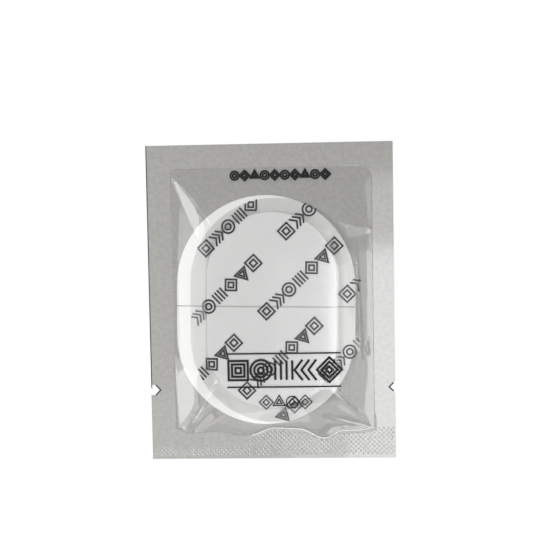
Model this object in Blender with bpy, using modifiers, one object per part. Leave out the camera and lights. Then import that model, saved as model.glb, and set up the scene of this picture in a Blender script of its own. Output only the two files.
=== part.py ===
"""Sealed sachet with a hydrogel electrode pad, lying on its foil back.

Metres, +Z up. The sachet's centre stands at X = Y = 0, its back is on Z = 0, and its long side runs along Y.
"""
import math

import bmesh
import bpy
from mathutils import Vector

# The gel, a stadium with a softly rounded rim
GEL_WIDTH = 0.0372
GEL_LENGTH = 0.0560
GEL_THICK = 0.0012
GEL_EDGE_ROUND = 0.0003

# The clear film over the gel: its border past the gel, its step down to the liner, and how far off centre it lies
COVER_SIDE_BORDER = 0.0056
COVER_END_BORDER = 0.00415
COVER_THICK = 0.00008
COVER_STEP_RUN = 0.0016
COVER_STEP_START = 0.0002
COVER_SHIFT = (0.0009, -0.0002)

# The white liner under the gel, in two halves with a slit between them
LINER_SIDE_BORDER = 0.0068
LINER_END_BORDER = 0.00475
LINER_THICK = 0.00012
LINER_SHIFT = (-0.0018, -0.0001)
SLIT_GAP = 0.0003
SLIT_OFF_CENTRE = 0.0011

# The pad lies slightly turned in its pocket
PAD_TURN = math.radians(-1.1)

# Free room round the pad inside the pocket, and the seal bands round the pocket
ROOM_LEFT = 0.00090
ROOM_RIGHT = 0.00352
ROOM_TOP = 0.00771
ROOM_BOTTOM = 0.0012
SEAL_LEFT = 0.0070
SEAL_RIGHT = 0.0060
SEAL_TOP = 0.0068
SEAL_BOTTOM = 0.0088
POCKET_CORNER_ROUND = 0.0032

# How far the bottom seal's inner edge dips below the pocket's corners: share of the pocket's width, depth of the dip
SEAL_WAVE = [
    (0.00, 0.0),
    (0.07, 0.0013),
    (0.20, 0.0009),
    (0.36, 0.0022),
    (0.50, 0.0),
    (0.62, 0.0003),
    (0.75, 0.0030),
    (0.84, 0.0009),
    (0.93, 0.0007),
    (1.00, 0.0),
]

# The two webs of the sachet, and the air between layers that lie on each other
BACK_THICK = 0.00010
FRONT_THICK = 0.00008
LAYER_GAP = 0.00005
FILM_SWELL = 0.0001

# The front film's drape from the seal (0) to the gel's edge (1): a lip over the liner's edge, then a slack tent
LIP_SHARE = 0.1
LIP_RISE = 0.12
TENT_FOOT = 0.6
TENT_BELLY = 1.2

# Tear notches, measured up from the sachet's bottom edge: five-sided on the left, a V on the right
LEFT_NOTCH_HEIGHT = 0.0201
LEFT_NOTCH_HALF = 0.0015
LEFT_NOTCH_DEPTH = 0.0025
LEFT_NOTCH_SHOULDER = 0.0011
RIGHT_NOTCH_HEIGHT = 0.0204
RIGHT_NOTCH_HALF = 0.0018
RIGHT_NOTCH_DEPTH = 0.0015
NOTCH_CUTTER_OVERHANG = 0.0020

# Folds of the front film. Each widens from its tip: the pocket corner it is measured from, the tip's offset from
# that corner along X and Y, direction in degrees, length, half width at its far end, steepness of its wider face
# (below zero for a dent), and where its crest runs, from -1 on its right side to 1 on its left
FOLDS = [
    ("top_left", -0.0008, 0.0004, -60.0, 0.0200, 0.0030, 0.22, 0.80),
    ("bottom_left", 0.0014, -0.0027, 76.8, 0.0320, 0.0081, 0.13, -0.82),
    ("bottom_left", 0.0049, 0.0004, 56.0, 0.0110, 0.0015, 0.28, -0.60),
    ("bottom_left", 0.0053, -0.0016, 41.0, 0.0110, 0.0018, 0.26, -0.60),
    ("bottom_right", 0.0, 0.0, 142.5, 0.0150, 0.0019, 0.11, -0.45),
    ("bottom_right", -0.0035, 0.0004, 165.0, 0.0140, 0.0020, 0.04, 0.40),
    ("top_right", -0.0010, -0.0010, -128.0, 0.0170, 0.0030, 0.15, 0.00),
    ("top_right", -0.0026, -0.0220, -89.5, 0.0360, 0.0013, -0.30, 0.40),
]
FOLD_START = 0.06
FOLD_FADE = 1 / 3

# Facets of the curved outlines and of the draped film
ARC_STEPS = 32
WEB_STEPS_ACROSS = 44
WEB_STEPS_ALONG = 48
WEB_SLOPE_RINGS = 10
WEB_CROWN_RINGS = 2
COVER_STEP_RINGS = 5
NEAR = 0.000001


def clear_scene():
    for obj in list(bpy.data.objects):
        bpy.data.objects.remove(obj, do_unlink=True)


def new_collection(name):
    group = bpy.data.collections.new(name)
    bpy.context.scene.collection.children.link(group)
    return group


def new_material(name, colour, roughness, metallic=0.0, alpha=1.0):
    material = bpy.data.materials.new(name)
    material.use_nodes = True
    shader = material.node_tree.nodes["Principled BSDF"]
    shader.inputs["Base Color"].default_value = (*colour, 1.0)
    shader.inputs["Roughness"].default_value = roughness
    shader.inputs["Metallic"].default_value = metallic
    shader.inputs["Alpha"].default_value = alpha
    return material


def stadium(width, length, centre=(0.0, 0.0), turn=0.0):
    """Outline of a rectangle with a half circle on each short end, anticlockwise, turned about X = Y = 0."""
    radius = width / 2
    straight = length / 2 - radius
    points = []
    for end in (1, -1):
        for step in range(ARC_STEPS + 1):
            angle = math.pi * step / ARC_STEPS + (0 if end == 1 else math.pi)
            x = centre[0] + radius * math.cos(angle)
            y = centre[1] + end * straight + radius * math.sin(angle)
            points.append((x, y))
    return [turned(point, turn) for point in points]


def turned(point, angle):
    x, y = point
    return (x * math.cos(angle) - y * math.sin(angle), x * math.sin(angle) + y * math.cos(angle))


def moved(outline, shift):
    return [(x + shift[0], y + shift[1]) for x, y in outline]


def cut_off(outline, level, side):
    """The part of a closed outline on one side of the line y = level: side 1 keeps what is above, -1 below."""
    kept = []
    for index, (x, y) in enumerate(outline):
        before_x, before_y = outline[index - 1]
        if (y - level) * (before_y - level) < 0:
            share = (level - before_y) / (y - before_y)
            kept.append((before_x + share * (x - before_x), level))
        if (y - level) * side >= 0:
            kept.append((x, y))
    return kept


def reach_from(outline, centre, angle):
    """Where a ray from the centre meets an outline that surrounds it."""
    along = Vector((math.cos(angle), math.sin(angle)))
    for index, (x, y) in enumerate(outline):
        start = Vector(outline[index - 1]) - Vector(centre)
        edge = Vector((x, y)) - Vector(centre) - start
        turn = along.cross(edge)
        if turn == 0:
            continue
        distance = start.cross(edge) / turn
        share = start.cross(along) / turn
        if distance > 0 and -NEAR <= share <= 1 + NEAR:
            return (centre[0] + distance * along.x, centre[1] + distance * along.y)
    raise ValueError("the ray misses the outline")


def smooth_wave(knots, share):
    """Height at a share of the way along, eased from knot to knot."""
    for (start, low), (end, high) in zip(knots, knots[1:]):
        if share <= end:
            ease = (1 - math.cos(math.pi * (share - start) / (end - start))) / 2
            return low + ease * (high - low)
    return knots[-1][1]


class Layout:
    """Sizes and places of the sachet, worked out from the pad that lies in it."""

    def __init__(self):
        self.cover_size = (GEL_WIDTH + 2 * COVER_SIDE_BORDER, GEL_LENGTH + 2 * COVER_END_BORDER)
        self.liner_size = (GEL_WIDTH + 2 * LINER_SIDE_BORDER, GEL_LENGTH + 2 * LINER_END_BORDER)
        pad = stadium(*self.cover_size, COVER_SHIFT, PAD_TURN) + stadium(*self.liner_size, LINER_SHIFT, PAD_TURN)
        left = min(x for x, y in pad) - ROOM_LEFT
        right = max(x for x, y in pad) + ROOM_RIGHT
        bottom = min(y for x, y in pad) - ROOM_BOTTOM
        top = max(y for x, y in pad) + ROOM_TOP
        centre_x = (left - SEAL_LEFT + right + SEAL_RIGHT) / 2
        centre_y = (bottom - SEAL_BOTTOM + top + SEAL_TOP) / 2
        self.pad_centre = (-centre_x, -centre_y)
        self.pocket = (left - centre_x, right - centre_x, bottom - centre_y, top - centre_y)
        self.half_width = (right + SEAL_RIGHT - left + SEAL_LEFT) / 2
        self.half_length = (top + SEAL_TOP - bottom + SEAL_BOTTOM) / 2
        self.liner_z = BACK_THICK + LAYER_GAP
        self.gel_z = self.liner_z + LINER_THICK + LAYER_GAP
        self.cover_rim_z = self.gel_z
        self.cover_top_z = self.gel_z + GEL_THICK + LAYER_GAP
        self.seal_z = BACK_THICK + LAYER_GAP
        self.crown_z = self.cover_top_z + COVER_THICK + LAYER_GAP

    def pouch_outline(self):
        x, y = self.half_width, self.half_length
        return [(x, y), (-x, y), (-x, -y), (x, -y)]

    def pocket_outline(self):
        """Three sharp corners, a round one at the top right, and a wavy bottom edge."""
        left, right, bottom, top = self.pocket
        round_x = right - POCKET_CORNER_ROUND
        round_y = top - POCKET_CORNER_ROUND
        points = []
        for step in range(ARC_STEPS // 4 + 1):
            angle = math.pi / 2 * step / (ARC_STEPS // 4)
            x = round_x + POCKET_CORNER_ROUND * math.cos(angle)
            points.append((x, round_y + POCKET_CORNER_ROUND * math.sin(angle)))
        points += [(left, top), (left, bottom)]
        for step in range(1, ARC_STEPS * 2):
            share = step / (ARC_STEPS * 2)
            points.append((left + share * (right - left), bottom - smooth_wave(SEAL_WAVE, share)))
        points.append((right, bottom))
        return points

    def corner(self, name):
        left, right, bottom, top = self.pocket
        return {"top_left": (left, top), "top_right": (right, top),
                "bottom_left": (left, bottom), "bottom_right": (right, bottom)}[name]

    def pad_outline(self, size, shift=(0.0, 0.0), grow=0.0):
        outline = stadium(size[0] + 2 * grow, size[1] + 2 * grow, shift, PAD_TURN)
        return moved(outline, self.pad_centre)


def flat_piece(name, outline, bottom, thickness, material, group):
    """A flat piece of even thickness, as a filled 2D curve."""
    curve = bpy.data.curves.new(name, "CURVE")
    curve.dimensions = "2D"
    curve.fill_mode = "BOTH"
    curve.extrude = thickness / 2
    spline = curve.splines.new("POLY")
    spline.points.add(len(outline) - 1)
    for point, (x, y) in zip(spline.points, outline):
        point.co = (x, y, 0.0, 1.0)
    spline.use_cyclic_u = True
    obj = bpy.data.objects.new(name, curve)
    obj.location.z = bottom + thickness / 2
    group.objects.link(obj)
    if material:
        curve.materials.append(material)
    return obj


def as_mesh(obj, group):
    """Turn a curve object into a closed mesh object in the same place."""
    bpy.context.view_layer.update()
    evaluated = obj.evaluated_get(bpy.context.evaluated_depsgraph_get())
    mesh = bpy.data.meshes.new_from_object(evaluated)
    shape = bmesh.new()
    shape.from_mesh(mesh)
    bmesh.ops.remove_doubles(shape, verts=shape.verts, dist=NEAR)
    bmesh.ops.recalc_face_normals(shape, faces=shape.faces)
    shape.to_mesh(mesh)
    shape.free()
    name = obj.name
    place = obj.matrix_world.copy()
    bpy.data.objects.remove(obj, do_unlink=True)
    solid = bpy.data.objects.new(name, mesh)
    solid.matrix_world = place
    group.objects.link(solid)
    return solid


def lofted_film(name, rings, thickness, material, group):
    """A film through closed rings of points, outermost first, closed by a fan in the middle."""
    shape = bmesh.new()
    rows = [[shape.verts.new(point) for point in ring] for ring in rings]
    for outer, inner in zip(rows, rows[1:]):
        for index in range(len(outer)):
            shape.faces.new((outer[index - 1], outer[index], inner[index], inner[index - 1]))
    last = rows[-1]
    middle = sum((vertex.co for vertex in last), Vector()) / len(last)
    hub = shape.verts.new(middle)
    for index in range(len(last)):
        shape.faces.new((last[index - 1], last[index], hub))
    mesh = bpy.data.meshes.new(name)
    shape.to_mesh(mesh)
    shape.free()
    mesh.shade_smooth()
    mesh.materials.append(material)
    obj = bpy.data.objects.new(name, mesh)
    group.objects.link(obj)
    wall = obj.modifiers.new("film thickness", "SOLIDIFY")
    wall.thickness = thickness
    wall.offset = 1.0
    return obj


def cut_notches(obj, cutters):
    for cutter in cutters:
        notch = obj.modifiers.new(cutter.name, "BOOLEAN")
        notch.operation = "DIFFERENCE"
        notch.solver = "EXACT"
        notch.object = cutter


def notch_cutters(layout, group):
    """Prisms that cut the two tear notches through both webs at once."""
    edge = layout.half_width
    bottom = -layout.half_length
    outside = edge + NOTCH_CUTTER_OVERHANG
    reach = layout.crown_z + FRONT_THICK
    left_y = bottom + LEFT_NOTCH_HEIGHT
    left = [
        (-outside, left_y - LEFT_NOTCH_HALF),
        (-edge + LEFT_NOTCH_SHOULDER, left_y - LEFT_NOTCH_HALF),
        (-edge + LEFT_NOTCH_DEPTH, left_y),
        (-edge + LEFT_NOTCH_SHOULDER, left_y + LEFT_NOTCH_HALF),
        (-outside, left_y + LEFT_NOTCH_HALF),
    ]
    right_y = bottom + RIGHT_NOTCH_HEIGHT
    flare = RIGHT_NOTCH_HALF * (1 + NOTCH_CUTTER_OVERHANG / RIGHT_NOTCH_DEPTH)
    right = [
        (outside, right_y + flare),
        (edge - RIGHT_NOTCH_DEPTH, right_y),
        (outside, right_y - flare),
    ]
    cutters = []
    for name, outline in (("left_tear_notch", left), ("right_tear_notch", right)):
        cutter = as_mesh(flat_piece(name, outline, -reach, 2 * reach, None, group), group)
        cutter.hide_render = True
        cutter.display_type = "WIRE"
        cutters.append(cutter)
    return cutters


def make_back_web(layout, group, cutters):
    """Foil laminate that the sachet lies on."""
    bpy.ops.mesh.primitive_cube_add(size=1.0, location=(0.0, 0.0, BACK_THICK / 2))
    obj = bpy.context.object
    obj.name = "back_web"
    obj.scale = (2 * layout.half_width, 2 * layout.half_length, BACK_THICK)
    bpy.ops.object.transform_apply(location=False, rotation=False, scale=True)
    for other in list(obj.users_collection):
        other.objects.unlink(obj)
    group.objects.link(obj)
    obj.data.materials.append(new_material("foil laminate", (0.45, 0.45, 0.44), 0.35, metallic=0.9))
    cut_notches(obj, cutters)
    return obj


def fold_height(layout, x, y):
    """How far the folds lift the front film at a point."""
    lift = 0.0
    for corner, offset_x, offset_y, direction, length, half_width, steepness, crest in FOLDS:
        corner_x, corner_y = layout.corner(corner)
        away_x = x - corner_x - offset_x
        away_y = y - corner_y - offset_y
        angle = math.radians(direction)
        along = away_x * math.cos(angle) + away_y * math.sin(angle)
        across = away_y * math.cos(angle) - away_x * math.sin(angle)
        if not 0 < along < length:
            continue
        spread = half_width * along / length
        side = across / spread
        if abs(side) < 1:
            share = (side + 1) / (crest + 1) if side < crest else (1 - side) / (1 - crest)
            fade = min(1.0, (1 - along / length) / FOLD_FADE)
            lift += steepness * spread * (1 + abs(crest)) * share * fade * fade * (3 - 2 * fade)
    return lift


def drape(share):
    """Share of the rise that the film has reached between the seal (0) and the gel's edge (1)."""
    if share < LIP_SHARE:
        return LIP_RISE * share / LIP_SHARE
    rest = (share - LIP_SHARE) / (1 - LIP_SHARE)
    tent = rest * (TENT_FOOT + rest * (TENT_BELLY + rest * (1 - TENT_FOOT - TENT_BELLY)))
    return LIP_RISE + (1 - LIP_RISE) * tent


def spread_points(outline, centre, corners):
    """Points on an outline, anticlockwise from its top right corner, evenly turned between its four corners."""
    angles = [math.atan2(y - centre[1], x - centre[0]) % (2 * math.pi) for x, y in corners]
    angles.append(angles[0] + 2 * math.pi)
    steps = [WEB_STEPS_ACROSS, WEB_STEPS_ALONG, WEB_STEPS_ACROSS, WEB_STEPS_ALONG]
    rays = []
    for side in range(4):
        for step in range(steps[side]):
            rays.append(angles[side] + (angles[side + 1] - angles[side]) * step / steps[side])
    return [reach_from(outline, centre, angle) for angle in rays]


def make_front_web(layout, group, cutters):
    """Clear film: flat on the seal bands, draped over the pad, with folds that fan out of the pocket's corners."""
    left, right, bottom, top = layout.pocket
    pocket_corners = [(right, top), (left, top), (left, bottom), (right, bottom)]
    centre = layout.pad_centre
    crown_outline = layout.pad_outline((GEL_WIDTH, GEL_LENGTH), grow=COVER_STEP_START)
    edge = spread_points(layout.pouch_outline(), centre, layout.pouch_outline())
    pocket = spread_points(layout.pocket_outline(), centre, pocket_corners)
    crown = spread_points(crown_outline, centre, pocket_corners)
    rise = layout.crown_z - layout.seal_z

    rings = [[(x, y, layout.seal_z) for x, y in edge]]
    for ring in range(WEB_SLOPE_RINGS + 1):
        share = ring / WEB_SLOPE_RINGS
        row = []
        for (pocket_x, pocket_y), (crown_x, crown_y) in zip(pocket, crown):
            x = pocket_x + share * (crown_x - pocket_x)
            y = pocket_y + share * (crown_y - pocket_y)
            lift = rise * drape(share)
            if ring:
                lift += fold_height(layout, x, y) * min(1.0, share / FOLD_START) * (1 - share * share)
            row.append((x, y, layout.seal_z + lift))
        rings.append(row)
    for ring in range(1, WEB_CROWN_RINGS + 1):
        share = ring / (WEB_CROWN_RINGS + 1)
        swell = FILM_SWELL * (1 - (1 - share) ** 4)
        row = []
        for x, y in crown:
            inner_x = x + share * (centre[0] - x)
            inner_y = y + share * (centre[1] - y)
            row.append((inner_x, inner_y, layout.crown_z + swell))
        rings.append(row)
    film = new_material("clear film", (0.90, 0.90, 0.89), 0.12, alpha=0.35)
    obj = lofted_film("front_web", rings, FRONT_THICK, film, group)
    cut_notches(obj, cutters)
    return obj


def make_liner(layout, group):
    """The two halves of the white release liner, on either side of the slit."""
    coated = new_material("coated liner", (0.86, 0.86, 0.85), 0.45)
    whole = stadium(*layout.liner_size, LINER_SHIFT)
    slit = LINER_SHIFT[1] + SLIT_OFF_CENTRE
    for name, side in (("liner_upper_half", 1), ("liner_lower_half", -1)):
        half = cut_off(whole, slit + side * SLIT_GAP / 2, side)
        outline = moved([turned(point, PAD_TURN) for point in half], layout.pad_centre)
        flat_piece(name, outline, layout.liner_z, LINER_THICK, coated, group)


def make_gel_pad(layout, group):
    """The gel, with its rim softly rounded above and below."""
    gel = new_material("hydrogel", (0.85, 0.86, 0.86), 0.25)
    outline = layout.pad_outline((GEL_WIDTH, GEL_LENGTH))
    obj = flat_piece("gel_pad", outline, layout.gel_z, GEL_THICK, gel, group)
    weld = obj.modifiers.new("weld caps", "WELD")
    weld.merge_threshold = NEAR
    rim = obj.modifiers.new("round rim", "BEVEL")
    rim.width = GEL_EDGE_ROUND
    rim.segments = 3
    rim.limit_method = "ANGLE"
    rim.angle_limit = math.radians(60)


def make_cover_film(layout, group):
    """Clear film that steps down from the gel to the liner all round, in a smooth S."""
    clear = new_material("cover film", (0.92, 0.92, 0.92), 0.15, alpha=0.4)
    gel_size = (GEL_WIDTH, GEL_LENGTH)
    drop = layout.cover_top_z - layout.cover_rim_z
    rim = layout.pad_outline(layout.cover_size, COVER_SHIFT)
    rings = [[(x, y, layout.cover_rim_z) for x, y in rim]]
    for ring in range(COVER_STEP_RINGS + 1):
        share = ring / COVER_STEP_RINGS
        grow = COVER_STEP_START + COVER_STEP_RUN * (1 - share)
        height = layout.cover_rim_z + drop * share * share * (3 - 2 * share)
        rings.append([(x, y, height) for x, y in layout.pad_outline(gel_size, grow=grow)])
    lofted_film("cover_film", rings, COVER_THICK, clear, group)


def build():
    clear_scene()
    parts = new_collection("hydrogel electrode pad")
    cutting = new_collection("cutters")
    layout = Layout()
    cutters = notch_cutters(layout, cutting)
    make_back_web(layout, parts, cutters)
    make_liner(layout, parts)
    make_gel_pad(layout, parts)
    make_cover_film(layout, parts)
    make_front_web(layout, parts, cutters)
    print("sachet", round(2000 * layout.half_width, 2), "x", round(2000 * layout.half_length, 2), "mm")


build()
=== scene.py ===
"""Looks of a sealed sachet that holds a hydrogel electrode pad: printed clear film over a foil back."""
import math

import bmesh
import bpy
from mathutils import Matrix, Vector, noise
from mathutils.bvhtree import BVHTree


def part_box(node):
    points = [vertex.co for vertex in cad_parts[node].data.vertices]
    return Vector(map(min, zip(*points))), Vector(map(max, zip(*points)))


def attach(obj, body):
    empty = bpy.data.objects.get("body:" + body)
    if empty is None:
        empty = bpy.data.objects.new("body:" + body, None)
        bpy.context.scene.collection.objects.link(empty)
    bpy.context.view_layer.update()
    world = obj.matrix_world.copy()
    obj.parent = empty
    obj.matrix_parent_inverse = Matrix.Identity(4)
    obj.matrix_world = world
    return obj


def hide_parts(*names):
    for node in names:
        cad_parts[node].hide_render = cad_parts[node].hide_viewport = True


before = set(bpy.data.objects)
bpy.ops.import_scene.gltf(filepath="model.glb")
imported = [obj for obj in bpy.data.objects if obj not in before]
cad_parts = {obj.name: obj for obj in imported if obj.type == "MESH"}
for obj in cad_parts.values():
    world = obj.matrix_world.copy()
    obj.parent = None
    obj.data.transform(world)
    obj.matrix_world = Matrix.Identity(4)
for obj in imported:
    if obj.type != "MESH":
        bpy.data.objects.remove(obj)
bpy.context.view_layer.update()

MM = 0.001

# Camera above the sachet, turned and tilted a little, as in the photograph's 560 x 560 frame
FRAME_PX = 560
FOCAL_PX = 1050
SENSOR_MM = 36.0
CAMERA_AIM = Vector((2.66, 6.31, 0.0)) * MM
CAMERA_DISTANCE = 298.9 * MM
CAMERA_TILT_X = -3.54
CAMERA_TILT_Y = 2.85
CAMERA_ROLL = -0.83

# Seal bands, the pocket inside them, and the tear notches
SEAL_LEFT = 7.0 * MM
SEAL_RIGHT = 6.0 * MM
SEAL_TOP = 6.8 * MM
SEAL_BOTTOM = 8.8 * MM
POCKET_CORNER_ROUND = 3.2 * MM
SEAL_WAVE = [
    (0.00, 0.0),
    (0.07, 1.3),
    (0.20, 0.9),
    (0.36, 2.2),
    (0.50, 0.0),
    (0.62, 0.3),
    (0.75, 3.0),
    (0.84, 0.9),
    (0.93, 0.7),
    (1.00, 0.0),
]
LEFT_NOTCH = [(-2.0, -1.5), (1.1, -1.5), (2.5, 0.0), (1.1, 1.5), (-2.0, 1.5)]
LEFT_NOTCH_UP = 20.1 * MM
RIGHT_NOTCH = [(2.0, -4.2), (2.0, 4.2), (-1.5, 0.0)]
RIGHT_NOTCH_UP = 20.4 * MM

# The pad's layers
PAD_TURN = math.radians(-1.1)
GEL_WIDTH = 37.2 * MM
GEL_LENGTH = 56.0 * MM
GEL_ROUND = 0.35 * MM
COVER_WIDTH = 48.4 * MM
COVER_LENGTH = 64.3 * MM
COVER_SHIFT = Vector((0.9, -0.2)) * MM
COVER_STEP_START = 0.2 * MM
COVER_STEP_RUN = 1.6 * MM
FILM_THICK = 0.08 * MM
FILM_SWELL = 0.06 * MM
COVER_RIPPLE = 0.02 * MM
COVER_RIPPLE_LENGTH = 5.0 * MM
FILM_RIPPLE = 0.03 * MM
FILM_RIPPLE_LENGTH = 4.0 * MM

# The liner's slit, seen through the gel: half its dark width, and where it has faded out
SLIT_CORE = 0.15 * MM
SLIT_REACH = 0.3 * MM

# Bead of sealant on the bottom seal's inner line: it fades out upwards and to the left
BEAD_RISE = 0.13 * MM
BEAD_SHARE = 0.04
BEAD_TOP_Y = -32.0 * MM
BEAD_FADE_Y = 3.0 * MM
BEAD_START_X = -7.0 * MM
BEAD_FADE_X = 4.0 * MM
BEAD_LEFT = -6.5 * MM
BEAD_WIDTH = 0.3 * MM

# Folds of the front film, each widening from its tip: the pocket corner it is measured from, the tip's
# offset in mm, direction in degrees, length in mm, half width at the far end in mm, steepness of its wider
# face, where the crest runs, from -1 on its right side to 1 on its left, and whether the crest is a soft one
FOLDS = [
    ("top_left", (-0.8, 0.4), -60.0, 26.0, 3.5, 0.31, 0.80, False),
    ("bottom_left", (1.0, -2.9), 73.5, 25.0, 8.7, 0.19, -0.82, False),
    ("bottom_left", (3.9, -0.7), 60.0, 12.0, 1.6, 0.28, -0.60, False),
    ("bottom_left", (2.8, -2.7), 37.0, 14.0, 2.1, 0.26, -0.60, False),
    ("bottom_right", (0.0, 0.0), 145.0, 17.0, 3.4, 0.12, -0.70, True),
    ("bottom_right", (-3.5, 0.4), 165.0, 14.0, 2.0, 0.05, 0.40, True),
    ("top_right", (-1.0, -1.0), -128.0, 17.0, 3.0, 0.09, 0.00, True),
    ("top_right", (1.0, -17.8), 180.0, 11.0, 3.4, 0.08, -0.85, False),
    ("top_right", (-4.4, -20.0), -89.5, 38.0, 1.8, 0.28, 0.30, False),
    ("top_right", (-1.4, -48.0), -96.0, 6.0, 1.4, 0.22, 0.00, True),
]

# Shares of the slope over which folds grow out of the seal, and of a fold's length over which it fades
FOLD_START = 0.06
FOLD_FADE = 1 / 3

# A fold rises no higher than this above the pad's crown, and rounds off over the second length
FOLD_TOP = 0.15 * MM
FOLD_ROUND = 0.15 * MM

# The front film's drape from the seal (0) to the gel's edge (1): a lip over the liner, then a slack tent
LIP = [(0.0, 0.0), (0.005, 0.10), (0.10, 0.12)]
TENT_FOOT = 0.2
TENT_BELLY = 2.0

# Rows of peel marks on the cover film
PEEL_START = Vector((-19.85, 14.13)) * MM
PEEL_ANGLE = math.radians(43.2)
PEEL_MARK = 4.0 * MM
PEEL_PITCH = 4.45 * MM
PEEL_REPEAT = 39.7 * MM
PEEL_LINE = 12.4 * MM
PEEL_STROKE = 0.5 * MM
PEEL_LINES = 9
PEEL_COLUMNS = 5
PEEL_LINES_ABOVE = 2
PEEL_COLUMNS_BEFORE = 2
PEEL_SCRAP = 0.45

# Print on the front film: two rules with large marks between, a small line below and one at the top
RULE_LEFT = -12.9 * MM
RULE_RIGHT = 19.6 * MM
RULE_HEIGHTS = (-14.5 * MM, -24.1 * MM)
RULE_STROKE = 0.42 * MM
TITLE_MARK = 6.5 * MM
TITLE_STROKE = 0.62 * MM
SMALL_MARK = 3.6 * MM
SMALL_START = Vector((-1.8, -28.5)) * MM
SMALL_PITCH = 3.7 * MM
SMALL_STROKE = 0.3 * MM
TOP_MARK = 2.6 * MM
TOP_START = Vector((-9.7, 36.1)) * MM
TOP_PITCH = 2.85 * MM
TOP_STROKE = 0.52 * MM
NEST_PITCH = 2.1 * MM
STROKE_PIECE = 0.6 * MM
WELL_ABOVE = 20.0 * MM
INK_LIFT = 0.005 * MM
INK_BODY = 0.01 * MM

# Painted shade: a thin dark line along the sachet's cut edge and round the tear notches
EDGE_STROKE = 0.3 * MM
EDGE_END = 2.0 * MM
NOTCH_STROKE = 0.42 * MM
NOTCH_SHARE = 0.7

# Crimp of the sealing jaws in the bottom seal: light on the left, hard in the middle and at the rim
CRIMP_PITCH = 1.3 * MM
CRIMP_BASE = 0.84 * MM
CRIMP_CROWN = 0.3 * MM
CRIMP_HEIGHT = 0.11 * MM
CRIMP_LIGHT_X = -10.0 * MM
CRIMP_HARD_X = 5.0 * MM
CRIMP_SOFT_X = 26.0 * MM
CRIMP_TOP_Y = -36.4 * MM
CRIMP_RIM_Y = -42.6 * MM
CRIMP_RIM_FADE = 1.2 * MM
CRIMP_NOTCH_CLEAR = 1.3
KEEP_OUT_Z = -10.0 * MM

# Lamps: degrees from overhead to the right and to the top, spread in degrees, and brightness against white
LAMP_DISTANCE = 0.6
ROOM_LIGHT = 0.48
LAMPS = [
    ("left_inner_softbox", -27, -12.5, 14, 31, 1.4),
    ("left_outer_softbox", -42, -8, 16, 50, 3.6),
    ("right_panel_edge", -1.5, -9.5, 3, 18, 0.3),
    ("right_panel_rim", 1, -9.5, 2, 18, 0.5),
    ("right_near_panel", 7.7, -9.5, 10.6, 18, 3.0),
    ("right_low_panel", 0, -16.4, 3.7, 3, 1.3),
    ("right_far_panel", 19.5, -9.5, 13, 18, 0.9),
    ("right_upper_panel", 5.5, 2.5, 7, 6, 1.0),
    ("low_panel", -1, -34, 26, 18, 0.8),
    ("low_near_panel", -7, -18, 12, 12, 0.4),
    ("top_fill", 0, 60, 100, 50, 1.05),
    ("bottom_fill", 0, -60, 100, 50, 1.05),
]

# The floor, just under the sachet, and how much of its white is its own glow to the camera
FLOOR_HALF = 2.0
FLOOR_Z = -0.05 * MM
FLOOR_GLOW = 0.86

# Facets
ARC_STEPS = 64
WEB_ACROSS = 120
WEB_ALONG = 132
SEAL_SHARES = [0.0, 0.3, 0.6, 0.85, 0.91, 0.93, 0.94, 0.95, 0.96, 0.97, 0.98, 0.99]
SLOPE_RINGS = 52
CROWN_RINGS = 14
GEL_ROUND_STEPS = 6
COVER_RIM_RINGS = 6
COVER_STEP_RINGS = 14


def srgb(code):
    """A hex colour as linear RGBA."""
    values = [int(code[index:index + 2], 16) / 255 for index in (1, 3, 5)]
    return (*[v / 12.92 if v <= 0.04045 else ((v + 0.055) / 1.055) ** 2.4 for v in values], 1.0)


def add(tree, kind, inputs=None, **settings):
    """Adds a node with its settings, and its inputs as values or as links from other nodes' outputs."""
    made = tree.nodes.new(kind)
    for name, value in settings.items():
        setattr(made, name, value)
    for key, value in (inputs or {}).items():
        if isinstance(value, bpy.types.NodeSocket):
            tree.links.new(value, made.inputs[key])
        else:
            made.inputs[key].default_value = value
    return made


def new_material(name):
    material = bpy.data.materials.new(name)
    material.use_nodes = True
    material.node_tree.nodes.clear()
    return material, material.node_tree


# Outlines


def turned(point, angle):
    return Vector((point[0] * math.cos(angle) - point[1] * math.sin(angle),
                   point[0] * math.sin(angle) + point[1] * math.cos(angle)))


def stadium(width, length, centre, shift=(0.0, 0.0)):
    """A rectangle with a half circle on each short end, turned with the pad about its centre."""
    radius = width / 2
    points = []
    for end in (1, -1):
        for step in range(ARC_STEPS + 1):
            angle = math.pi * step / ARC_STEPS + (0 if end == 1 else math.pi)
            point = (shift[0] + radius * math.cos(angle),
                     shift[1] + end * (length / 2 - radius) + radius * math.sin(angle))
            points.append(turned(point, PAD_TURN) + centre)
    return points


def eased(knots, share):
    for (start, low), (end, high) in zip(knots, knots[1:]):
        if share <= end:
            ease = (1 - math.cos(math.pi * (share - start) / (end - start))) / 2
            return low + ease * (high - low)
    return knots[-1][1]


def pocket_outline(left, right, bottom, top):
    points = []
    steps = ARC_STEPS // 4
    for step in range(steps + 1):
        angle = math.pi / 2 * step / steps
        points.append(Vector((right - POCKET_CORNER_ROUND * (1 - math.cos(angle)),
                              top - POCKET_CORNER_ROUND * (1 - math.sin(angle)))))
    points += [Vector((left, top)), Vector((left, bottom))]
    wave_steps = ARC_STEPS * 2
    for step in range(1, wave_steps):
        share = step / wave_steps
        points.append(Vector((left + share * (right - left), bottom - eased(SEAL_WAVE, share) * MM)))
    points.append(Vector((right, bottom)))
    return points


def reach_from(outline, centre, angle):
    """Where a ray from the centre meets the outline round it."""
    along = Vector((math.cos(angle), math.sin(angle)))
    for index, end in enumerate(outline):
        start = outline[index - 1] - centre
        edge = end - outline[index - 1]
        turn = along.cross(edge)
        if turn == 0:
            continue
        distance = start.cross(edge) / turn
        share = start.cross(along) / turn
        if distance > 0 and -1e-6 <= share <= 1 + 1e-6:
            return centre + distance * along
    raise ValueError("the ray misses the outline")


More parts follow.
